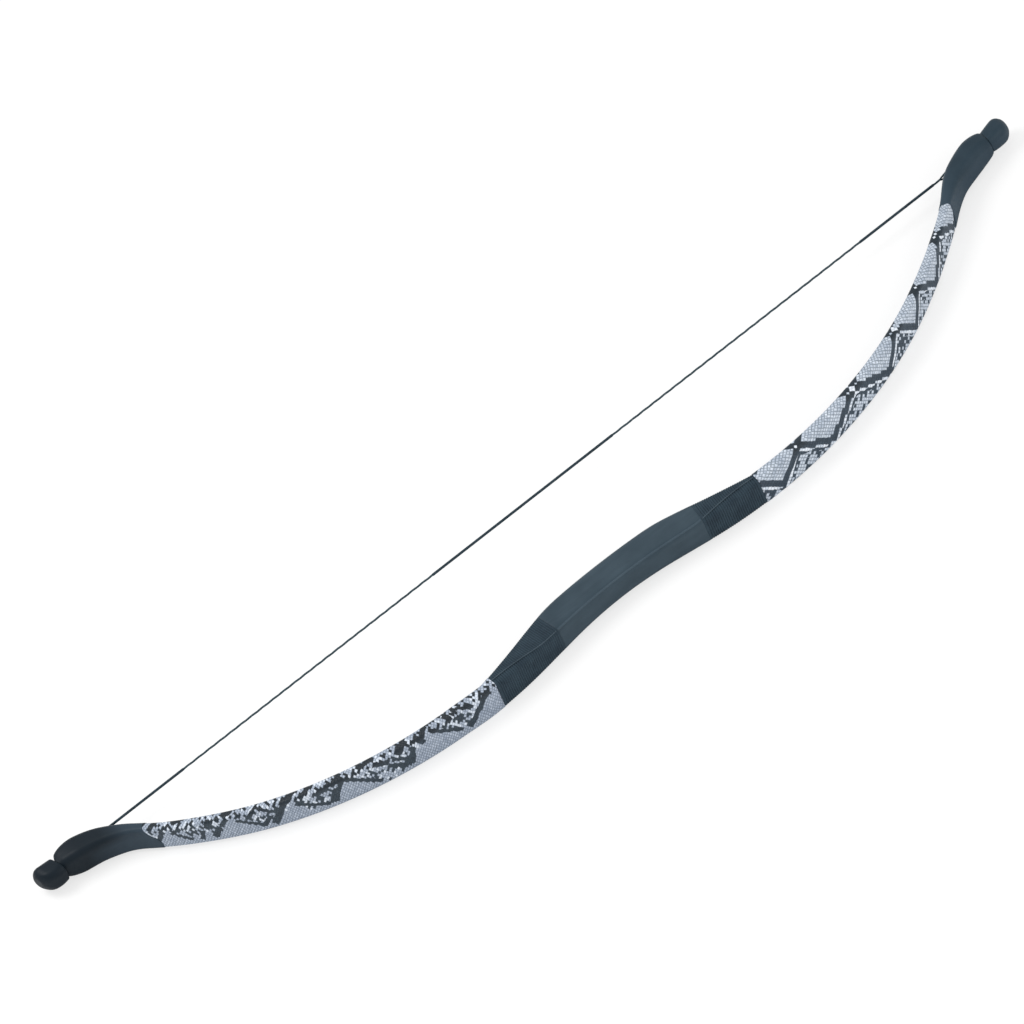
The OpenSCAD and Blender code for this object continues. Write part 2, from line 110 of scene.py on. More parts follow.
def pose(s):
    """Place and heading (x, y, angle) of the limb's middle line at runs s, signed for the lower half."""
    a = np.abs(s)
    x, y, h = (np.interp(a, line_runs, row) for row in (line_x, line_y, line_heads))
    return np.where(np.asarray(s) < 0, -x, x), y, np.where(np.asarray(s) < 0, -h, h)


# How far each strung limb leans off the shared line, towards the string: (run, lean)
LEANS = {"upper": [(470, 0), (520, -1.3), (545, -3), (560, -3.6), (572, -3), (584, -1.6), (600, -0.4), (626, 0.2),
                   (640, 2.6), (648, 4.2), (656, 4.6), (664, 5), (672, 6.2), (680, 8.2), (690, 9.5)],
         "lower": [(184, 0), (215, 1.7), (300, 1.9), (400, 1.4), (440, 1.2), (500, 2), (545, 2), (560, 2.8),
                   (570, 3.9), (580, 4.7), (590, 4.4), (600, 3.2), (616, 2.4), (626, 1.8), (640, 2), (650, 2),
                   (656, 1.2), (664, -0.2), (672, 0.3), (680, 1.8), (690, 3)]}
# Steps to each side over which a lean is smoothed
LEAN_SMOOTH = 70
window = np.ones(2 * LEAN_SMOOTH + 1) / (2 * LEAN_SMOOTH + 1)
lean_lines = {side: np.convolve(np.pad(np.interp(line_runs, *zip(*points)), LEAN_SMOOTH, mode="edge"), window,
                                "valid") for side, points in LEANS.items()}


def lean(s):
    """How far the strung bow stands off the shared line at signed runs s."""
    up, down = (np.interp(np.abs(s), line_runs, lean_lines[side]) for side in SIDES)
    return np.where(np.asarray(s) < 0, down, up)


def at(s, n, z):
    """Points off the middle line: n towards the string, z across the width."""
    x, y, h = pose(s)
    tilt = np.where(np.asarray(s) < 0, -END_TILTS["lower"], END_TILTS["upper"])
    x = x + n * tilt * ease((np.abs(s) - BODY_END + TILT_RUN) / TILT_RUN)
    n = n + lean(s)
    return np.stack([x - n * np.sin(h), y + n * np.cos(h), z + 0 * x], axis=-1)


def ease(f):
    """A smooth step from 0 to 1."""
    c = np.clip(f, 0, 1)
    return c * c * (3 - 2 * c)


def mix(pair, f):
    """The value a share f of the way from the first of a pair to the second."""
    return pair[0] + (pair[1] - pair[0]) * f


def stave(s):
    """Half width and half thickness of the laminations."""
    f = np.clip((np.abs(s) - PIVOT_RUN) / (LIMB_END - PIVOT_RUN), 0, 1)
    return mix(STAVE_W, f) / 2, mix(STAVE_T, f) / 2


def riser_at(s):
    """Height of the riser block."""
    fade = np.clip((np.abs(s) - RISER_FLAT) / (HANDLE_HALF - RISER_FLAT), 0, 1)
    return RISER_H * (1 - fade ** RISER_CURVE)


def handle_size(s, grow=0.0):
    """Half width, half depth, corner radius and middle height of the wrapped handle."""
    hw = mix(HANDLE_W, ease(np.abs(s) / WIDEN_LEN)) / 2
    r = mix(HANDLE_R, ease(np.abs(s) / HANDLE_HALF))
    return hw + grow, (STAVE_T[0] + riser_at(s)) / 2 + WRAP_WALL + grow, r + grow, riser_at(s) / 2


# Shapes: rings of points across the bow, from the middle of the belly round by -z, the back and +z. A ring has
# these many steps on a corner, on half a wide side and on a narrow side.
CORNER, HALF_WIDE, DEEP = 8, 5, 5


def span(a, b, count):
    return np.linspace(a, b, count, endpoint=False)


def outline(hw, hd, r, fine=1):
    """A rectangle with round corners as (z, n) points; fine multiplies those on its flats."""
    arcs = []
    for start, sz, sn in ((90, -1, 1), (180, -1, -1), (270, 1, -1), (360, 1, 1)):
        a = np.radians(np.linspace(start, start + 90, CORNER + 1))
        arcs.append(np.stack([sz * (hw - r) + r * np.cos(a), sn * (hd - r) + r * np.sin(a)], -1))
    top = (0, hd)
    parts = [span(top, arcs[0][0], HALF_WIDE * fine)]
    for i, count in enumerate((DEEP, 2 * HALF_WIDE, DEEP)):
        parts += [arcs[i][:-1], span(arcs[i][-1], arcs[i + 1][0], count * fine)]
    parts += [arcs[3][:-1], span(arcs[3][-1], top, HALF_WIDE * fine)]
    return np.concatenate(parts)


def around(points):
    """Distance round an outline from the middle of the back, one value more than it has points."""
    steps = np.linalg.norm(np.roll(points, -1, axis=0) - points, axis=1)
    far = np.concatenate([[0], np.cumsum(steps)])
    return far - far[-1] / 2


def section(s, hw, hd, r, mid=0.0, fine=1):
    """A ring across the bow and its map coordinates (run, around)."""
    q = outline(hw, hd, r, fine)
    far = around(q)
    return at(np.full(len(q), float(s)), mid + q[:, 1], q[:, 0]), np.stack([np.full(len(far), float(s)), far], -1)


def new_mesh(name, points, faces):
    """An object made of points in millimetres."""
    mesh = bpy.data.meshes.new(name)
    mesh.from_pydata((np.asarray(points) * MM).tolist(), [], faces)
    mesh.update()
    mesh.polygons.foreach_set("use_smooth", [True] * len(mesh.polygons))
    piece = bpy.data.objects.new(name, mesh)
    bpy.context.scene.collection.objects.link(piece)
    return piece


def outward(piece):
    """Turns a closed mesh's faces outward, which they are when the volume they enclose is positive."""
    mesh = piece.data
    mesh.calc_loop_triangles()
    points = np.array([v.co for v in mesh.vertices])
    a, b, c = points[np.array([tri.vertices[:] for tri in mesh.loop_triangles])].transpose(1, 0, 2)
    if np.einsum("ij,ij->i", a, np.cross(b, c)).sum() < 0:
        mesh.flip_normals()


def grid(name, rings, closed=False, maps=None):
    """A closed mesh over rings of points: closed joins the last ring to the first, or else the ends are capped.
    maps holds each point's place on the map, in millimetres, with one more per ring than it has points."""
    rings = np.asarray(rings, float)
    m, n = rings.shape[:2]
    i, k = np.meshgrid(np.arange(m if closed else m - 1), np.arange(n), indexing="ij")
    j, l = (i + 1) % m, (k + 1) % n
    faces = np.stack([i * n + k, i * n + l, j * n + l, j * n + k], -1).reshape(-1, 4).tolist()
    points = rings.reshape(-1, 3)
    walls = len(faces)
    if not closed:
        points = np.vstack([points, rings[0].mean(0), rings[-1].mean(0)])
        faces += [[m * n, (k + 1) % n, k] for k in range(n)]
        faces += [[m * n + 1, (m - 1) * n + k, (m - 1) * n + (k + 1) % n] for k in range(n)]
    piece = new_mesh(name, points, faces)
    if maps is not None:
        maps = np.asarray(maps)
        values = np.zeros((len(piece.data.loops), 2))
        values[:4 * walls] = np.stack([maps[i, k], maps[i, k + 1], maps[j, k + 1], maps[j, k]], 2).reshape(-1, 2)
        piece.data.uv_layers.new(name="Run").data.foreach_set("uv", (values * MM).ravel())
    outward(piece)
    return piece


def sharpen(piece):
    """Shades edges sharp where faces meet at more than 35 degrees."""
    piece.data.set_sharp_from_angle(angle=math.radians(35))


def sleeve(name, runs, outer, inner):
    """A sleeve along the bow: outer and inner give a section's sizes at a run."""
    made = [section(s, *outer(s)) for s in runs] + [section(s, *inner(s)) for s in runs[::-1]]
    return grid(name, [ring for ring, marks in made], closed=True, maps=[marks for ring, marks in made])


def tube(name, path, outs, wide, high, sides=12):
    """A tube along a path: outs point out from what it lies on, wide and high are its cross-section's sizes."""
    path, outs = np.asarray(path, float), np.asarray(outs, float)
    t = np.gradient(path, axis=0)
    t /= np.linalg.norm(t, axis=1, keepdims=True)
    side = np.cross(t, outs)
    side /= np.linalg.norm(side, axis=1, keepdims=True)
    up = np.cross(side, t)
    wide, high = np.broadcast_to(wide, len(path)), np.broadcast_to(high, len(path))
    a = np.linspace(0, 2 * math.pi, sides, endpoint=False)
    rings = path[:, None] + up[:, None] * (high[:, None] * np.cos(a) / 2)[..., None] \
        + side[:, None] * (wide[:, None] * np.sin(a) / 2)[..., None]
    run = np.concatenate([[0], np.cumsum(np.linalg.norm(np.diff(path, axis=0), axis=1))])
    far = np.linspace(0, 1, sides + 1) * math.pi * float(np.mean(high))
    return grid(name, rings, maps=np.stack(np.broadcast_arrays(run[:, None], far[None, :]), -1))


# Materials
def srgb(code):
    """A linear colour from a six-digit code."""
    parts = [int(code[i:i + 2], 16) / 255 for i in (0, 2, 4)]
    return (*[c / 12.92 if c <= 0.04045 else ((c + 0.055) / 1.055) ** 2.4 for c in parts], 1.0)


class Shader:
    """A material with one principled surface, and short words for its nodes."""

    def __init__(self, name, **sockets):
        self.material = bpy.data.materials.new(name)
        self.material.use_nodes = True
        self.tree = self.material.node_tree
        self.tree.nodes.clear()
        self.surface = self.node("ShaderNodeBsdfPrincipled")
        self.feed(self.node("ShaderNodeOutputMaterial").inputs[0], self.surface.outputs[0])
        for socket, value in sockets.items():
            self.set(socket.replace("_", " "), value)

    def node(self, kind, **settings):
        made = self.tree.nodes.new(kind)
        for key, value in settings.items():
            setattr(made, key, value)
        return made

    def feed(self, target, value):
        if isinstance(value, bpy.types.NodeSocket):
            self.tree.links.new(value, target)
        else:
            target.default_value = value

    def set(self, socket, value):
        self.feed(self.surface.inputs[socket], value)

    def math(self, operation, *values):
        made = self.node("ShaderNodeMath", operation=operation)
        for i, value in enumerate(values):
            self.feed(made.inputs[i], value)
        return made.outputs[0]

    def add(self, a, b):
        return self.math("ADD", a, b)

    def sub(self, a, b):
        return self.math("SUBTRACT", a, b)

    def mul(self, a, b):
        return self.math("MULTIPLY", a, b)

    def above(self, value, edge):
        """1 where value is over edge, or else 0."""
        return self.math("GREATER_THAN", value, edge)

    def within(self, value, middle, half):
        """1 where value is no further than half from middle, or else 0."""
        return self.math("COMPARE", value, middle, half)

    def spread(self, value, low, high, to_low=0.0, to_high=1.0):
        """A value mapped from one range to another and held within it."""
        made = self.node("ShaderNodeMapRange")
        for i, part in enumerate((value, low, high, to_low, to_high)):
            self.feed(made.inputs[i], part)
        return made.outputs[0]

    def vector(self, x, y, z=0.0):
        made = self.node("ShaderNodeCombineXYZ")
        for i, part in enumerate((x, y, z)):
            self.feed(made.inputs[i], part)
        return made.outputs[0]

    def run_around(self):
        """The piece's map coordinates in millimetres."""
        split = self.node("ShaderNodeSeparateXYZ")
        self.feed(split.inputs[0], self.node("ShaderNodeTexCoord").outputs["UV"])
        return self.mul(split.outputs[0], 1 / MM), self.mul(split.outputs[1], 1 / MM)

    def place(self, stretch=(1, 1, 1)):
        """The place in the piece's own frame, in millimetres, each axis stretched."""
        made = self.node("ShaderNodeVectorMath", operation="MULTIPLY")
        self.feed(made.inputs[0], self.node("ShaderNodeTexCoord").outputs["Object"])
        made.inputs[1].default_value = [part / MM for part in stretch]
        return made.outputs[0]

    def noise(self, vector, size, detail, rough=0.5):
        made = self.node("ShaderNodeTexNoise", noise_dimensions="4D")
        self.feed(made.inputs["Vector"], vector)
        for key, value in (("Scale", 1 / size), ("Detail", detail), ("Roughness", rough), ("W", 0.0)):
            made.inputs[key].default_value = value
        return made.outputs[0]

    def chance(self, vector):
        """A value from 0 to 1 that looks random but always comes out the same at a place."""
        made = self.node("ShaderNodeTexWhiteNoise", noise_dimensions="3D")
        self.feed(made.inputs[0], vector)
        return made.outputs[0]

    def cells(self, vector, size):
        """Distance to the nearest of many scattered spots."""
        made = self.node("ShaderNodeTexVoronoi", feature="F1")
        self.feed(made.inputs["Vector"], vector)
        made.inputs["Scale"].default_value = 1 / size
        return made.outputs["Distance"]

    def blend(self, factor, a, b):
        """Colour a where factor is 0, and colour b where it is 1."""
        made = self.node("ShaderNodeMix", data_type="RGBA")
        for i, part in ((0, factor), (6, a), (7, b)):
            self.feed(made.inputs[i], part)
        return made.outputs[2]

    def curve(self, value, points, low, high):
        """A value read off a bent line through (value, result) points; results lie between low and high."""
        start, end = points[0][0], points[-1][0]
        made = self.node("ShaderNodeValToRGB")
        self.feed(made.inputs[0], self.spread(value, start, end))
        ramp = made.color_ramp
        for i, (spot, result) in enumerate(points):
            share = (spot - start) / (end - start)
            stop = ramp.elements[0] if i == 0 else ramp.elements[-1] if i == len(points) - 1 \
                else ramp.elements.new(share)
            stop.position = share
            level = (result - low) / (high - low)
            stop.color = (level, level, level, 1)
        return self.spread(made.outputs[0], 0.0, 1.0, low, high)

    def bump(self, height, depth, strength):
        """Relief on the surface; depth is in millimetres."""
        made = self.node("ShaderNodeBump")
        made.inputs["Strength"].default_value = strength
        made.inputs["Distance"].default_value = depth * MM
        self.feed(made.inputs["Height"], height)
        self.set("Normal", made.outputs[0])


def scales(sh, run, far, rate, growth, round_rate):
    """Diamond scales that get shorter along the run: each one's middle, how near a point is to its two pairs
    of edges, 0 there, and a chance value."""
    along = sh.mul(run, sh.add(sh.mul(run, growth), rate))
    p, q = sh.add(along, sh.mul(far, round_rate)), sh.sub(along, sh.mul(far, round_rate))
    pc, qc = (sh.add(sh.math("FLOOR", part), 0.5) for part in (p, q))
    root = sh.math("SQRT", sh.add(sh.mul(sh.add(pc, qc), 2 * growth), rate * rate))
    mid_run = sh.mul(sh.sub(root, rate), 0.5 / growth)
    mid_far = sh.mul(sh.sub(pc, qc), 0.5 / round_rate)
    rows, files = (sh.sub(0.5, sh.math("ABSOLUTE", sh.sub(part, mid))) for part, mid in ((p, pc), (q, qc)))
    return mid_run, mid_far, rows, files, sh.chance(sh.vector(pc, qc))


# Distance round from the middle of the back to the line about which the snakeskin is mirrored for the far side
SKIN_MIRROR = 19


def skin_material(name, pattern, tones, rate, growth, round_rate, fold):
    """Snakeskin: a net of scales whose tone a pattern sets scale by scale. rate, growth and round_rate set the
    scales' size along and round, and a fold is where the files of scales meet at an angle."""
    sh = Shader(name, Roughness=0.42, Specular_IOR_Level=0.3)
    run, far = sh.run_around()
    run = sh.math("ABSOLUTE", run)
    wobble = sh.noise(sh.vector(run, far), 18, 1)
    run, far = sh.add(run, sh.spread(wobble, 0, 1, -1.5, 1.5)), sh.add(far, sh.spread(wobble, 0, 1, 1.2, -1.2))
    wobble = sh.noise(sh.vector(far, run), 3.5, 1)
    run, far = sh.add(run, sh.spread(wobble, 0, 1, -0.8, 0.8)), sh.add(far, sh.spread(wobble, 0, 1, -0.8, 0.8))
    if fold:
        far = sh.sub(fold, sh.math("ABSOLUTE", sh.sub(far, fold)))
    far = sh.sub(sh.math("ABSOLUTE", sh.add(far, SKIN_MIRROR)), SKIN_MIRROR)
    mid_run, mid_far, rows, files, luck = scales(sh, run, far, rate, growth, round_rate)
    spot = [sh.add(sh.mul(a, 0.5), sh.mul(b, 0.5)) for a, b in ((run, mid_run), (far, mid_far))]
    dark, pale = pattern(sh, (mid_run, mid_far), spot, luck)
    light, low, line, white, deep, dim, black = (srgb(code) for code in tones)
    mottle = sh.noise(sh.vector(run, far), 4, 2)
    tone = sh.blend(sh.add(sh.mul(luck, 0.55), sh.spread(mottle, 0.35, 0.65, 0, 0.35)), light, low)
    tone = sh.blend(pale, tone, white)
    net = sh.math("MAXIMUM", sh.spread(rows, 0.04, 0.27, 0.95, 0.0), sh.spread(files, 0.04, 0.24, 0.85, 0.0))
    net = sh.mul(net, sh.spread(mottle, 0.3, 0.6, 1, 0.65))
    tone = sh.blend(sh.mul(net, sh.spread(pale, 0, 1, 1, 0.6)), tone, line)
    edge = sh.math("MINIMUM", rows, files)
    shade = sh.blend(sh.mul(luck, 0.6), deep, dim)
    shade = sh.blend(sh.spread(mid_far, 11, 17), shade, black)
    shade = sh.blend(sh.spread(edge, 0.03, 0.2, 0.5, 0), shade, black)
    sh.set("Base Color", sh.blend(dark, tone, shade))
    sh.bump(sh.add(sh.spread(edge, 0.0, 0.4), sh.mul(luck, 0.15)), 0.3, 0.8)
    return sh.material


# Where the dark bands turn on the upper limb: (run, 1 at their low turns and 0 at their high ones), the distance
# round of both kinds of turn, and half a band's width
BAND_TURNS = [(170, 0.1), (204, 1), (230.5, 0), (271.8, 1), (316.8, 0), (367, 1), (397.8, 0), (426.5, 1),
              (451.5, 0), (484, 1), (522.7, 0), (559, 1), (590, 0)]
BAND_EDGE, BAND_LOW, BAND_HALF = 20, -10, 4.9


def banded(sh, cell, spot, luck):
    """Big pale rhombi along the limb, parted by dark bands with broken ones beside them. cell is the middle of the
    scale, spot lies between it and the point itself, and luck is the scale's chance value."""
    turn, near = (sh.curve(run, BAND_TURNS, 0, 1) for run, far in (cell, spot))
    off, line = (sh.sub(far, sh.spread(bend, 0, 1, BAND_EDGE, BAND_LOW))
                 for bend, far in ((turn, cell[1]), (near, spot[1])))
    knot = sh.mul(sh.mul(sh.above(cell[1], 16), sh.above(sh.mul(turn, -1), -0.1)), sh.above(luck, 0.62))
    band = sh.mul(sh.within(off, 0, BAND_HALF), sh.sub(1, knot))
    second = sh.mul(sh.within(line, -10, 1.6), sh.above(luck, 0.25))
    third = sh.mul(sh.within(line, -16, 1.7), sh.above(luck, 0.5))
    inner = sh.mul(sh.above(sh.mul(off, -1), 8.5), sh.above(luck, 0.72))
    dark = sh.math("MAXIMUM", sh.math("MAXIMUM", band, second), sh.math("MAXIMUM", third, inner))
    pale = sh.math("MAXIMUM", sh.mul(sh.within(line, -6.9, 1.5), sh.above(luck, 0.3)), knot)
    return dark, pale


# The lower limb's marks, as bars over the scales: (run, around, run, around, half width)
DARK_BARS = [(178, 19, 209, -10, 2.9), (199, 13, 219, 25, 1.5), (217, -7, 250, 19, 1.6), (213, 5, 219, 14, 2.6),
             (225, 14, 229, 24, 2.4), (252, 26, 258, 19, 3), (259, 9, 266, 21, 2.8), (279, 22, 289, 13, 3.4),
             (272, 12, 278, -9, 2.6), (279, -8, 301, 4, 2.2), (281, 1, 296, 10, 1.6), (300, 9, 315, 16, 2.6),
             (313, -9, 349, 15, 1.7), (313, 26, 331, 19, 2.8), (352, 14, 363, -9, 1.6), (359, 9, 369, -9, 1.6),
             (350, 25, 359, 16, 2.6), (363, 17, 381, 11, 2.2), (371, -9, 403, 8, 1.5), (384, 24, 392, 17, 2.6),
             (400, 26, 414, 12, 2.7), (414, 13, 429, -9, 2.9), (430, 4, 440, -9, 2.2), (426, 9, 445, 20, 1.4),
             (440, -6, 465, 9, 1.4), (446, 16, 453, 7, 2), (469, 25, 478, 17, 3.4), (474, 13, 482, 7, 2),
             (484, 4, 491, -8, 3), (492, 17, 496, 6, 3), (501, 4, 505, -8, 2), (515, -6, 529, 3, 1.5),
             (519, 26, 532, 20, 3.2), (524, 12, 534, 5, 2), (543, 12, 550, -6, 1.9), (548, 26, 556, 13, 2.6)]
PALE_BARS = [(217, 4, 228, 13, 2.6), (214, 26, 224, 18, 2.4), (266, 6, 272, 22, 2.2), (284, 4, 293, 11, 3),
             (304, 20, 324, 9, 2.4), (332, 24, 338, 12, 2.2), (371, -3, 378, 5, 3.2), (388, 8, 397, 15, 3.4),
             (437, -1, 446, 8, 3), (440, 24, 450, 13, 2.6), (484, 8, 490, 16, 2.8), (508, 14, 522, 10, 2.4),
             (536, 24, 541, 12, 2.2), (552, -1, 557, 9, 2)]
# Upper edge of the quiet patches along the lower side of its back: (run, around)
PATCH_TOPS = [(168, 10), (209, -10), (222, -9), (248, 13), (271.8, 9.2), (277, -10), (300, -20), (321.8, -9.5),
              (348, 11.8), (363, -9.5), (391.5, -9.5), (406.5, 8), (423, -9.5), (439, -7), (464, 9.2),
              (476.5, 6.7), (482, -8), (516.5, -4.5), (537.8, 8), (548, -9.5), (590, -20)]


def bars(sh, place, marks, grow=0.0):
    """1 within any of the bars, widened by grow."""
    total = None
    for r0, f0, r1, f1, half in marks:
        box = sh.node("ShaderNodeMapping", vector_type="TEXTURE")
        sh.feed(box.inputs[0], place)
        box.inputs[1].default_value = ((r0 + r1) / 2, (f0 + f1) / 2, 0)
        box.inputs[2].default_value = (0, 0, math.atan2(f1 - f0, r1 - r0))
        box.inputs[3].default_value = (math.hypot(r1 - r0, f1 - f0) / 2 + grow, half + grow, 1)
        size = sh.node("ShaderNodeVectorMath", operation="ABSOLUTE")
        sh.feed(size.inputs[0], box.outputs[0])
        split = sh.node("ShaderNodeSeparateXYZ")
        sh.feed(split.inputs[0], size.outputs[0])
        far_out = sh.math("MAXIMUM", split.outputs[0], split.outputs[1])
        total = far_out if total is None else sh.math("MINIMUM", total, far_out)
    return sh.math("LESS_THAN", total, 1.0)


def blotched(sh, cell, spot, luck):
    """Quiet patches along one edge of the back under a broken mosaic of dark bars and white blotches."""
    place = sh.vector(*spot)
    busy = sh.above(sh.sub(cell[1], sh.curve(cell[0], PATCH_TOPS, -20, 13)), 4)
    dark = sh.math("MAXIMUM", bars(sh, place, DARK_BARS, 0.6), sh.mul(busy, sh.above(luck, 0.67)))
    pale = sh.math("MAXIMUM", bars(sh, place, PALE_BARS), sh.mul(busy, sh.math("LESS_THAN", luck, 0.15)))
    return dark, pale


def leather_material(name, dull, bright):
    """Clouded leather with pores and streaks along it."""
    sh = Shader(name, Specular_IOR_Level=0.2)
    place = sh.place()
    cloud, grain, pore = sh.noise(place, 28, 3), sh.noise(place, 2.2, 3, 0.6), sh.cells(place, 1.3)
    streak = sh.noise(sh.place((0.15, 1, 1)), 6, 2)
    tone = sh.blend(sh.spread(cloud, 0.3, 0.7), srgb(dull), srgb(bright))
    tone = sh.blend(sh.spread(streak, 0.45, 0.75, 0, 0.35), tone, srgb("3f4e59"))
    sh.set("Base Color", sh.blend(sh.spread(grain, 0.55, 0.8, 0, 0.3), tone, srgb("26323c")))
    sh.set("Roughness", sh.spread(cloud, 0.3, 0.7, 0.46, 0.6))
    sh.bump(sh.add(sh.mul(pore, 0.5), grain), 0.12, 0.5)
    return sh.material


def cord_material(name, dull, bright, ply=0.55, lay=1.1):
    """Twisted cord: fine plies, ply apart, run slantwise round it, the more so the larger lay is; painted shade
    darkens the grooves between them.
    """
    sh = Shader(name, Roughness=0.75, Specular_IOR_Level=0.2)
    run, far = sh.run_around()
    lines = sh.math("SINE", sh.mul(sh.add(run, sh.mul(far, lay)), 2 * math.pi / ply))
    place = sh.place()
    cloud, fuzz = sh.noise(place, 14, 2), sh.noise(place, 0.5, 2)
    tone = sh.blend(sh.spread(cloud, 0.3, 0.7), srgb(dull), srgb(bright))
    # Painted shade: the grooves between the plies are darkened towards 161d24
    sh.set("Base Color", sh.blend(sh.spread(lines, -1, 0.2, 0.45, 0), tone, srgb("161d24")))
    sh.bump(sh.add(sh.mul(lines, 0.5), fuzz), 0.1, 0.6)
    return sh.material


def tip_material(name, inner, outer, cast, side):
    """Soft-sheen moulding with painted shade: its tone darkens from inner to outer along it, and to side on its +z
    flank.
    """
    sh = Shader(name, Specular_IOR_Level=0.14)
    place = sh.place()
    split = sh.node("ShaderNodeSeparateXYZ")
    sh.feed(split.inputs[0], place)
    x = sh.math("ABSOLUTE", split.outputs[0])
    cloud, fine = sh.noise(place, 22, 3), sh.noise(place, 0.8, 3)
    scuff = sh.noise(sh.place((0.3, 1, 1)), 3, 3, 0.6)
    # Painted shade: darker towards the outer end and on the +z flank, where the tip lies in shade
    tone = sh.blend(sh.spread(x, 538, 582), srgb(inner), srgb(outer))
    tone = sh.blend(sh.mul(sh.spread(split.outputs[2], 2, 11), sh.spread(x, 530, 560)), tone, srgb(side))
    tone = sh.blend(sh.spread(cloud, 0.35, 0.75, 0, 0.3), tone, srgb(cast))
    sh.set("Base Color", sh.blend(sh.spread(scuff, 0.62, 0.8, 0, 0.2), tone, srgb(cast)))
    sh.set("Roughness", sh.spread(scuff, 0.3, 0.8, 0.4, 0.58))
    sh.bump(sh.add(fine, scuff), 0.05, 0.5)
    return sh.material


def wood_material(name, dull, bright, ring=2.4):
    """Wood with grain and pores along the bow."""
    sh = Shader(name, Roughness=0.5)
    rings = sh.noise(sh.place((0.02, 1, 1)), ring, 4, 0.65)
    pores = sh.noise(sh.place((0.06, 1, 1)), 0.5, 2)
    tone = sh.blend(sh.spread(rings, 0.35, 0.65), srgb(dull), srgb(bright))
    sh.set("Base Color", sh.blend(sh.spread(pores, 0.58, 0.72, 0, 0.5), tone, srgb("3c2a1c")))
    sh.bump(pores, 0.08, 0.4)
    return sh.material


def glass_material():
    """Glass fibres that lie along the bow."""
    sh = Shader("glass_fibre_lamination", Roughness=0.35, Coat_Weight=0.2)
    fibres = sh.noise(sh.place((0.01, 1, 1)), 0.5, 3)
    sh.set("Base Color", sh.blend(sh.spread(fibres, 0.35, 0.65), srgb("b9b7aa"), srgb("d8d6cb")))
    sh.bump(fibres, 0.04, 0.4)
    return sh.material


def cloth_material():
    """A plain weave of 0.9 mm."""
    sh = Shader("wrap_weave", Roughness=0.85, Sheen_Weight=0.2)
    place = sh.node("ShaderNodeSeparateXYZ")
    sh.feed(place.inputs[0], sh.place())
    warp, weft = (sh.math("SINE", sh.mul(place.outputs[i], 2 * math.pi / 0.9)) for i in (0, 2))
    weave = sh.mul(warp, weft)
    sh.set("Base Color", sh.blend(sh.spread(weave, -1, 1), srgb("1f272f"), srgb("333e49")))
    sh.bump(weave, 0.15, 0.6)
    return sh.material


def dress(piece, material, slot, body, *nodes):
    """Gives a piece its material, the body that it rides on and the nodes that it stands for; slot is not used. A side
    in place of a body leaves it on no body, with its place baked into its points."""
    piece.data.materials.clear()
    piece.data.materials.append(material)
    if body in SIDES:
        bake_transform(piece)
    else:
        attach(piece, body)
    if nodes:
        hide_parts(*nodes)


# The seam's leather is lighter than the grip's: a painted highlight along its ridge
leather, seam_leather_highlight = (leather_material("grip_leather_grain", "2c3b45", "35444e"),
                         leather_material("grip_seam_grain_painted_highlight", "364550", "404f59"))
cloth, glass = cloth_material(), glass_material()
riser_wood = wood_material("riser_walnut", "5c4330", "7d5c40")
core_wood = wood_material("core_bamboo", "9a7a4c", "bb9a68", 1.6)
binding_cord = cord_material("binding_cord_plies", "283742", "33444f")
# The ridge's cord is lighter than the binding's: a painted highlight along the ridge
ridge_cord_highlight = cord_material("binding_ridge_plies_painted_highlight", "414f59", "4c5a64")
string_cord = cord_material("string_fibre_twist", "2c3e46", "3a4d55", 0.8, 2.0)
serving_cord = cord_material("serving_thread", "24333b", "31434e", 0.45, 4.0)
# The skins' tones: light and low scales, the lines between them, white ones, deep and dim dark ones, and black
UPPER_TONES = ("d8e1ec", "9aa6b6", "4a5764", "e2e9f2", "2b3946", "394855", "1d2830")
LOWER_TONES = ("bac4d3", "8490a2", "4d5a67", "d3dce8", "22303b", "35444f", "172129")
skins = {"upper": skin_material("skin_bands", banded, UPPER_TONES, 0.156, 0.000085, 0.195, BAND_EDGE),
         "lower": skin_material("skin_blotches", blotched, LOWER_TONES, 0.25, 0.00006, 0.19, None)}
# Both tips are one moulding; the lower one's darker tones are painted shade, a shaded copy of the upper one's
tips = {"upper": tip_material("tip_moulding_upper_painted_shade", "33424e", "293843", "3a4a56", "26353f"),
        "lower": tip_material("tip_moulding_lower_painted_shade", "33404b", "0e1921", "18242c", "101a22")}

for node, material in (("riser_block", riser_wood), ("handle_core", core_wood), ("handle_back_glass", glass),
                       ("handle_belly_glass", glass), ("handle_wrap", cloth)):
    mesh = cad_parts[node].data
    mesh.materials.clear()
    mesh.materials.append(material)

# The leather grip with its rounded edges, and the ridge of its seam, whose lighter leather is a painted highlight. The
# seam leaves the corner of the back at SEAM_TURN and crosses to the narrow side's middle at the handle's end.
LEATHER_EDGE, LEATHER_RIM, SEAM_TURN, STITCH = 0.4, 0.3, 95, 3.6


def leather_outer(s):
    """Section of the leather's outside, smoothed along the bow."""
    edge = min(s + GRIP_DOWN, GRIP_UP - s) / LEATHER_EDGE
    grow = LEATHER_RIM + (LEATHER_T - LEATHER_RIM) * math.sqrt(max(0.0, 1 - (1 - min(1.0, edge)) ** 2))
    return np.mean([handle_size(s + d, grow) for d in (-12, -6, 0, 6, 12)], axis=0)


def seam_spot(s):
    """Distance round the handle, from the middle of the back, of the line that the seam follows."""
    hw, hd, r, mid = handle_size(s)
    corner = hw - r + r * math.pi / 4
    side = hw + hd - 2 * r + r * math.pi / 2
    return mix((corner, side), ease((abs(s) - SEAM_TURN) / (HANDLE_HALF - SEAM_TURN)))


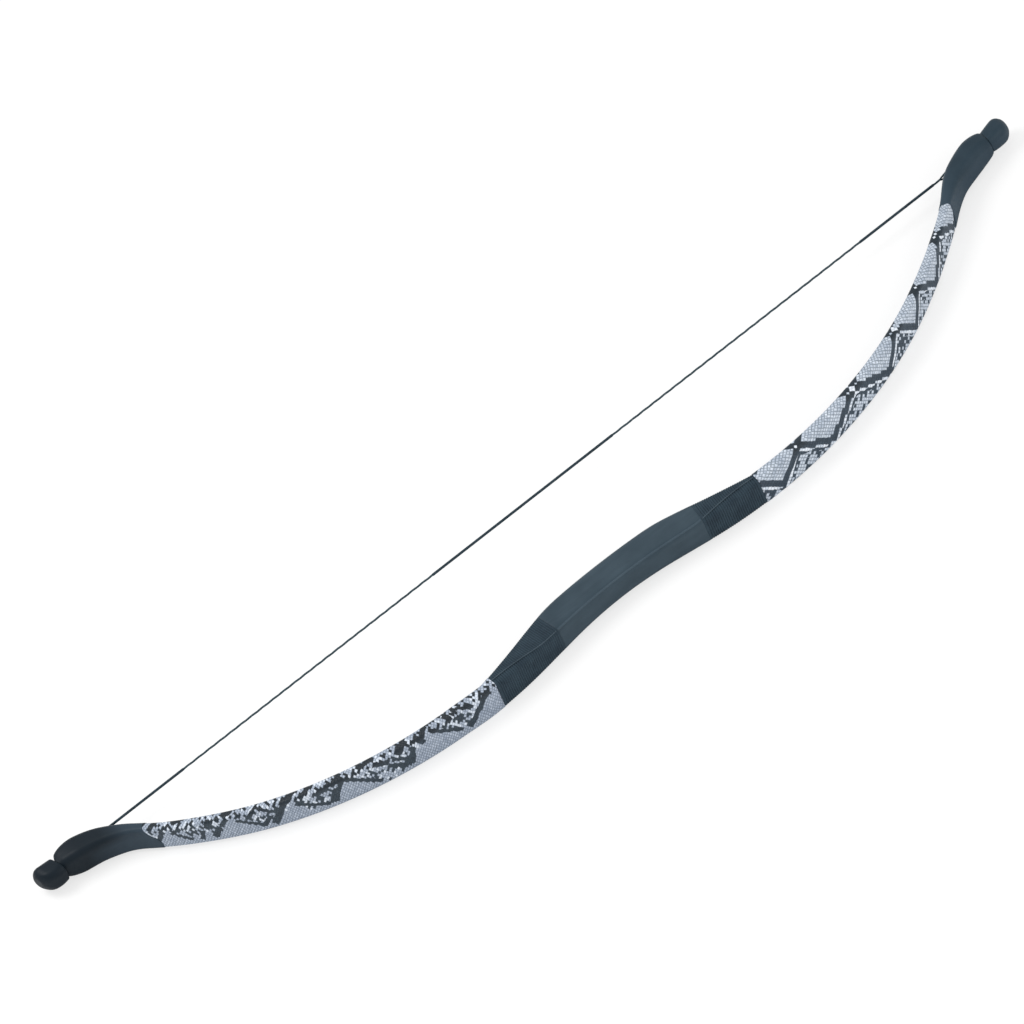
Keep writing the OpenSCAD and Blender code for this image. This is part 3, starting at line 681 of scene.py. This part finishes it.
grip_runs = np.concatenate([-GRIP_DOWN + LEATHER_EDGE * (1 - np.cos(np.linspace(0, math.pi / 2, 6))),
                            np.arange(-GRIP_DOWN + 3, GRIP_UP - 2, 2.0),
                            GRIP_UP - LEATHER_EDGE * (1 - np.cos(np.linspace(math.pi / 2, 0, 6)))])
grip = sleeve("grip_leather_cover", grip_runs, leather_outer, lambda s: handle_size(s, FIT / 2))
dress(grip, leather, "grip_hide", "grip", "grip_leather")


def surface_point(s, spot, grow):
    """A point on the handle's surface, a distance round from the middle of the back, and the way out there."""
    hw, hd, r, mid = handle_size(s, grow)
    q = outline(hw, hd, r)
    far = around(q)
    share = spot * far[-1] / around(outline(*handle_size(s)[:3]))[-1]
    ring = np.vstack([q, q[:1]])
    z, n = (np.interp(share, far, ring[:, i]) for i in (0, 1))
    ahead = [np.interp(share + 0.5, far, ring[:, i]) - np.interp(share - 0.5, far, ring[:, i]) for i in (0, 1)]
    out = np.array([ahead[1], -ahead[0]]) / math.hypot(*ahead)
    h = float(pose(s)[2])
    return at(float(s), mid + n, z), np.array([-out[1] * math.sin(h), out[1] * math.cos(h), out[0]])


seam_runs = np.arange(-GRIP_DOWN + 0.4, GRIP_UP - 0.3, 0.6)
seam_path, seam_outs = zip(*[surface_point(s, seam_spot(s), LEATHER_T) for s in seam_runs])
seam = tube("grip_seam_ridge", seam_path, seam_outs, 2.0, 0.85 + 0.15 * np.cos(seam_runs * 2 * math.pi / STITCH))
dress(seam, seam_leather_highlight, "grip_hide", "grip", "grip_seam")


# The cord bindings: each one unbroken cord, wound over the wrap and the ridge under it, and that ridge's line, a
# lighter cord that is a painted highlight
RIDGE_H, RIDGE_W = 0.7, 0.9
BINDINGS = {"upper": (GRIP_UP, HANDLE_HALF), "lower": (ROOT_LEN - HANDLE_HALF, -GRIP_DOWN)}


def wound(name, start, end):
    """A cord wound over the handle, whose first and last turns close on themselves."""
    # The cord just passes under the leather's and the skin's edges, and runs higher where it crosses the ridge
    first, last = start + CORD_W / 2 - 0.5, end - CORD_W / 2 + 0.2
    count = round((last - first) / CORD_PITCH) + 2
    size = len(outline(*handle_size(0.0)[:3], 3))
    path, outs = [], []
    for i in range(count * size + 1):
        s = first + (last - first) * min(1.0, max(0.0, (i / size - 1) / (count - 2)))
        k = i % size
        hw, hd, r, mid = handle_size(s, CORD_H / 2 + 0.1)
        q = outline(hw, hd, r, 3)
        far = around(q)
        lift = RIDGE_H * math.exp(-((far[k] - seam_spot(s) * far[-1] / (far[-1] - 4)) / RIDGE_W) ** 2)
        ahead = q[(k + 1) % size] - q[k - 1]
        out = np.array([ahead[1], -ahead[0]]) / math.hypot(*ahead)
        h = float(pose(s)[2])
        path.append(at(s, mid + q[k][1] + lift * out[1], q[k][0] + lift * out[0]))
        outs.append([-out[1] * math.sin(h), out[1] * math.cos(h), out[0]])
    return tube(name, path, outs, CORD_W, CORD_H, 10)


for side, ends in BINDINGS.items():
    dress(wound(f"{side}_binding_cord", *ends), binding_cord, "binding_cord", "grip", f"{side}_binding")
for side, (start, end) in BINDINGS.items():
    path, outs = zip(*[surface_point(s, seam_spot(s), CORD_H + RIDGE_H + 0.2)
                       for s in np.arange(start + 1, end - 1, 0.6)])
    dress(tube(f"{side}_binding_ridge", path, outs, 1.0, 0.7, 8), ridge_cord_highlight, "binding_cord", "grip")


# The snakeskin sleeves; the lower one starts on the handle, beyond its binding
def skin_outer(s):
    """Half width, half depth, corner radius and middle height of a sleeve's outside."""
    hw, hd = stave(s)
    rise = riser_at(s)
    return hw + SKIN_EDGE, hd + SKIN_WALL + rise / 2, SKIN_CORNER, rise / 2


def skin_inner(s):
    """The same for its inside, which lies on the wrapped handle and then on the laminations."""
    if abs(s) < HANDLE_HALF:
        return handle_size(s, FIT)
    hw, hd = stave(s)
    return hw + FIT, hd + FIT, 1.0, 0.0


# Under each sleeve lie the limb's laminations
for side, sign in SIDES.items():
    start = HANDLE_HALF + GAP if sign > 0 else HANDLE_HALF - ROOT_LEN + 0.4
    runs = np.concatenate([np.arange(start, HANDLE_HALF + 1, 1.0), np.arange(HANDLE_HALF + 2, SOCKET_END, 2.5),
                           [SOCKET_END]])
    skin = sleeve(f"{side}_skin_sleeve", sign * runs, skin_outer, skin_inner)
    nodes = [f"{side}_skin"] + (["lower_skin_root"] if sign < 0 else [])
    dress(skin, skins[side], "limb_skin", side, *nodes)
    for layer, material, slot, heights in (
            ("back_glass", glass, "glass_lamination", lambda hd: (-hd, GLASS_T - hd)),
            ("core", core_wood, "core_wood", lambda hd: (GLASS_T - hd, hd - GLASS_T)),
            ("belly_glass", glass, "glass_lamination", lambda hd: (hd - GLASS_T, hd))):
        rings = []
        for s in np.linspace(PIVOT_RUN - 3, SOCKET_END, 120):
            hw, hd = stave(s)
            low, high = heights(hd)
            corners = [(-hw, low), (hw, low), (hw, high), (-hw, high)]
            rings.append([at(float(sign * s), n, z) for z, n in corners])
        strip = grid(f"{side}_{layer}_strip", rings)
        sharpen(strip)
        dress(strip, material, slot, side, f"{side}_{layer}")


# The moulded tips: socket, swelling body, neck and knob in one closed skin.
# Where each tip's lip lies over the skin, from the middle of the belly right round: (around, run)
LIPS = {"upper": [(-44, 556), (-22, 557), (-12.7, 559), (-6.5, 563), (2, 566), (11, 567.5), (18.5, 565.5),
                  (23.5, 562.5), (27, 558), (44, 556)],
        "lower": [(-44, 552), (-27, 550), (-18, 547), (-8, 546.5), (-3.2, 549), (1.7, 552.7), (6.7, 557.5),
                  (13, 561.5), (18, 563), (23, 562), (26, 558), (32, 554), (44, 552)]}


def tip_rings(side):
    """Rings from the bottom of the socket out to the mouth's lip, and on over the body, the neck and the knob."""
    sign = SIDES[side]
    width, depth, corner, full = TIP_SIZES[side]
    body_rim, knob_rim = RIMS[side]
    end = BODY_END + body_rim
    far = around(outline(STAVE_W[1] / 2 + SKIN_EDGE, STAVE_T[1] / 2 + SKIN_WALL, SKIN_CORNER, 2))[:-1]
    starts = np.interp(far, *zip(*LIPS[side]))
    rings = []

    def ring(s, grow_w, grow_d, r):
        """One ring whose points stand at their own runs s, with functions for its growth and corner radius."""
        rows = []
        for k, run in enumerate(s):
            hw, hd = stave(run)
            q = outline(hw + grow_w(run), hd + grow_d(run), r(run), 2)[k]
            rows.append(at(sign * run, q[1], q[0]))
        rings.append(rows)

    for f in (1, 0.6, 0.3, 0):
        ring(starts + (SOCKET_END + GAP - starts) * f, lambda s: SKIN_EDGE + FIT, lambda s: SKIN_WALL + FIT,
             lambda s: SKIN_CORNER)

    def swell(s):
        """0 at the mouth and 1 where the body has its full size."""
        return float(ease((s - MOUTH_RUN) / (BODY_END - MOUTH_RUN) / full))

    def inset(s, across):
        """How far the body draws in at its outer end."""
        length, drop, deep_drop, p = SHOULDERS[side]
        e = min(1.0, max(0.0, 1 - (end - s) / length))
        return min(SHOULDER_MOST, (drop if across else deep_drop) * (1 - (1 - e ** p) ** (1 / p)))

    def wide(s):
        skin = SKIN_EDGE + TIP_LIP
        return skin + (width / 2 - stave(s)[0] - skin) * swell(s) - inset(s, True)

    def deep(s):
        skin = SKIN_WALL + TIP_LIP
        return skin + (depth / 2 - stave(s)[1] - skin) * swell(s) - inset(s, False)

    def radius(s):
        return min(mix((SKIN_CORNER + TIP_LIP, corner), swell(s)), 0.9 * (stave(s)[1] + deep(s)))

    # Rings lie closest together at the lip and at the body's outer end
    for f in np.concatenate([[0, 0.004], np.linspace(0.01, 0.7, 36), 1 - 0.3 * np.cos(np.linspace(0.08, 1.5708, 26))]):
        bevel = LIP_BEVEL if f == 0 else 0.0
        ring(starts + (end - starts) * f, lambda s: wide(s) - bevel, lambda s: deep(s) - bevel, radius)

    def round_ring(s, half, r):
        """A square ring with round corners, or a circle where r nearly is half its width."""
        rings.append(section(sign * s, half, half, r, 0.0, 2)[0])

    # The neck, with a pocket for the loop under the rim that reaches over it
    under, half = LOOP_R + SERVING_D / 2 + 0.4, NECK_D / 2
    if body_rim:
        round_ring(end, under, under - 0.01)
        round_ring(BODY_END, under, under - 0.01)
    for s, grow in ((BODY_END + 0.01, 0.5), (BODY_END + 0.5, 0.0), (KNOB_RUN - 0.5, 0.0), (KNOB_RUN - 0.01, 0.5)):
        round_ring(s, half + grow, half + grow - 0.01)
    if knob_rim:
        round_ring(KNOB_RUN, under, under - 0.01)
        round_ring(KNOB_RUN - knob_rim, under, under - 0.01)
    # The knob, with its round end
    long, size, growth, bend, round_len, round_in = KNOBS[side]
    for f in (1 - np.cos(np.linspace(0, math.pi, 41))) / 2:
        s = KNOB_RUN - knob_rim + (long + knob_rim) * f
        e = max(0.0, 1 - (KNOB_RUN + long - s) / round_len)
        half = size + growth * f + bend * f * f - round_in * (1 - math.sqrt(1 - e * e)) - 0.5 * max(0.0, 1 - f / 0.02)
        round_ring(s, half, min(KNOB_CORNER, 0.95 * half))
    return rings


def channel(side):
    """The channel in the tip's belly for the loop's legs, open towards the string, as a prism to be cut out of it."""
    length, low = LOOP_LENS[side], string_y - SERVING_D / 2 - GAP
    wide = LOOP_R + SERVING_D / 2 + GAP
    narrow = SERVING_D + GAP
    plan = [(0.1 - GROOVE_W / 2, wide), (0.8 * length, 0.77 * wide), (1.1 * length, narrow), (2 * length, narrow)]
    plan += [(back, -z) for back, z in plan[::-1]]
    return grid("channel", [[(SIDES[side] * (neck_x - back), h, z) for back, z in plan] for h in (low, low + 60)])


neck_x, neck_y = (float(part) for part in pose(NECK_RUN)[:2])
string_y = neck_y + STRING_RISE
for side in SIDES:
    tip = grid(f"{side}_tip_moulding", tip_rings(side))
    cutter = channel(side)
    cut = tip.modifiers.new("channel", "BOOLEAN")
    cut.object, cut.operation, cut.solver = cutter, "DIFFERENCE", "EXACT"
    bpy.context.view_layer.update()
    done = bpy.data.meshes.new_from_object(tip.evaluated_get(bpy.context.evaluated_depsgraph_get()))
    tip.modifiers.clear()
    tip.data = done
    assert len(done.vertices) > 1000, "the tip's channel was not cut"
    bpy.data.objects.remove(cutter)
    sharpen(tip)
    dress(tip, tips[side], "tip_black", f"{side}_limb", f"{side}_tip")


# The string: in two halves that meet at the nocking point, each with its strands, servings, legs and loop
def straight(name, sign, start, end, d, pitch, depth, step, sides=14, starts=1):
    """A round string along X with grooves of that pitch, depth and number of starts, as strands or threads give."""
    x = np.arange(start, end + step / 2, step)
    a = np.linspace(0, 2 * math.pi, sides, endpoint=False)
    wave = np.cos(starts * a[None, :] - 2 * math.pi * x[:, None] / pitch)
    r = d / 2 - depth * (1 - wave) / 2
    rings = np.stack([sign * np.broadcast_to(x[:, None], r.shape), string_y + r * np.cos(a), r * np.sin(a)], -1)
    far = np.linspace(0, 1, sides + 1) * math.pi * d
    marks = np.stack(np.broadcast_arrays(x[:, None], far[None, :]), -1)
    return grid(name, rings, maps=marks)


THREAD, STRAND_PITCH, LEG_D, LEG_CURVE, LEG_START = 0.9, 14, 2.0, 2.6, 0.35
for side, sign in SIDES.items():
    body = f"{side}_string"
    loop_len = LOOP_LENS[side]
    throat = neck_x - loop_len
    strand = straight(f"{side}_string_strands", sign, 0.0, throat + 3, STRAND_D, STRAND_PITCH, 0.35, 1.0, 18, 3)
    legs = []
    for z in (-1, 1):
        f = np.linspace(0, 1, 60)
        spread = LEG_START + (LOOP_R - LEG_START) * (1 - (1 - f) ** LEG_CURVE)
        path = np.stack([sign * (throat + loop_len * f), 0 * f + string_y, z * spread], -1)
        ends = LEG_D * np.clip(1 - (2 * np.abs(f - 0.5)) ** 30, 0.05, 1)
        legs.append(tube("leg", path, np.tile([0, 1, 0], (60, 1)), ends, ends, 12))
    with bpy.context.temp_override(active_object=strand, selected_editable_objects=[strand] + legs):
        bpy.ops.object.join()
    dress(strand, string_cord, "string_fibre", body, f"{side}_strand")
    for part, start, end in (("end", neck_x - END_SERVING, throat - THROAT_LEN), ("centre", 0.0, CENTRE_SERVING)):
        serving = straight(f"{side}_{part}_serving_thread", sign, start, end, SERVING_D, THREAD, 0.16, THREAD / 6)
        dress(serving, serving_cord, "string_fibre", body, f"{side}_{part}_serving")
    # The bight goes round the back of the neck, and its two ends rise to the legs' height
    middle_y = neck_y + float(lean(sign * NECK_RUN))
    top = string_y - SERVING_D / 2 - GAP - middle_y
    low = math.asin(max(0.0, -top) / LOOP_R)
    a = np.linspace(low, math.pi - low, 60)
    bight = np.stack([sign * (neck_x - END_TILTS[side] * LOOP_R * np.sin(a)), middle_y - LOOP_R * np.sin(a),
                      LOOP_R * np.cos(a)], -1)
    rise = np.linspace(max(top, 0), 0, 8)[:-1] if top > 0 else []
    up, down = ([[sign * neck_x, middle_y + h, z * LOOP_R] for h in rise] for z in (1, -1))
    path = np.vstack([part for part in (up, bight, down[::-1]) if len(part)])
    loop = tube(f"{side}_loop_bight", path, np.tile([1, 0, 0], (len(path), 1)), SERVING_D, SERVING_D, 14)
    dress(loop, serving_cord, "string_fibre", f"{side}_limb", f"{side}_loop")

# Floor, light and camera; lengths here are in metres. Seen by the camera, the floor is partly a glow of plain white.
FLOOR_HALF, FLOOR_TONE, FLOOR_GLOW, AMBIENT = 30, 0.92, 0.68, 0.76
WHITE = (1, 1, 1, 1)
square = np.array([[-1, -1, 0], [1, -1, 0], [1, 1, 0], [-1, 1, 0]])
floor = new_mesh("floor", square * FLOOR_HALF / MM, [[0, 1, 2, 3]])
floor.location = (0, 0, cad_box[0][2])


def fresh_nodes(owner, *kinds):
    """Clears a material's or world's nodes, and makes new ones of these kinds."""
    owner.use_nodes = True
    owner.node_tree.nodes.clear()
    return [owner.node_tree.nodes.new(f"ShaderNode{kind}") for kind in kinds]


def join(owner, *pairs):
    for source, target in pairs:
        owner.node_tree.links.new(source, target)


paper = bpy.data.materials.new("floor_paper")
rays, matt, glow, seen, both, out = fresh_nodes(paper, "LightPath", "BsdfDiffuse", "Emission", "Math", "MixShader",
                                                "OutputMaterial")
matt.inputs[0].default_value = (FLOOR_TONE, FLOOR_TONE, FLOOR_TONE, 1)
glow.inputs[0].default_value = WHITE
seen.operation = "MULTIPLY"
seen.inputs[1].default_value = FLOOR_GLOW
join(paper, (rays.outputs["Is Camera Ray"], seen.inputs[0]), (seen.outputs[0], both.inputs[0]),
     (matt.outputs[0], both.inputs[1]), (glow.outputs[0], both.inputs[2]), (both.outputs[0], out.inputs[0]))
floor.data.materials.append(paper)

world = bpy.data.worlds.new("studio")
bpy.context.scene.world = world
rays, level, seen, air, out = fresh_nodes(world, "LightPath", "Mix", "Math", "Background", "OutputWorld")
seen.operation = "MAXIMUM"
level.inputs[2].default_value, level.inputs[3].default_value = AMBIENT, 1.0
air.inputs[0].default_value = WHITE
join(world, (rays.outputs["Is Camera Ray"], seen.inputs[0]), (rays.outputs["Is Transmission Ray"], seen.inputs[1]),
     (seen.outputs[0], level.inputs[0]), (level.outputs[0], air.inputs[1]), (air.outputs[0], out.inputs[0]))

LAMPS = {"key": ((-1.4, 1.2, 2.6), 1.8, 52), "fill": ((1.6, -2.4, 1.7), 2.4, 31)}      # place, size, power
LAMP_AIM = Vector((0, 0.05, 0))
for name, (spot, size, power) in LAMPS.items():
    light = bpy.data.lights.new(name, "AREA")
    light.shape, light.size, light.energy = "DISK", size, power
    lamp = bpy.data.objects.new(name, light)
    bpy.context.scene.collection.objects.link(lamp)
    lamp.location = spot
    lamp.rotation_euler = (LAMP_AIM - Vector(spot)).to_track_quat("-Z", "Y").to_euler()

# The camera's own right and up, the point in its middle, and the width and distance of what it sees
RIGHT, UP = Vector((0.771141, -0.564589, -0.294248)), Vector((0.600564, 0.491647, 0.630561))
BACK = RIGHT.cross(UP)
AIM = Vector((-12.96, 156.891, 0.352)) * MM
PIXELS, PIXELS_PER_MM, DISTANCE, SENSOR = 1024, 0.987, 40, 36
lens = bpy.data.cameras.new("camera")
lens.sensor_width, lens.lens = SENSOR, SENSOR * DISTANCE / (PIXELS / PIXELS_PER_MM * MM)
lens.clip_start, lens.clip_end = 1, 4 * DISTANCE
camera = bpy.data.objects.new("camera", lens)
bpy.context.scene.collection.objects.link(camera)
camera.matrix_world = Matrix.Translation(AIM + BACK * DISTANCE) @ Matrix((RIGHT, UP, BACK)).transposed().to_4x4()
bpy.context.scene.camera = camera
bpy.context.scene.view_settings.view_transform = "Standard"

bpy.context.view_layer.update()
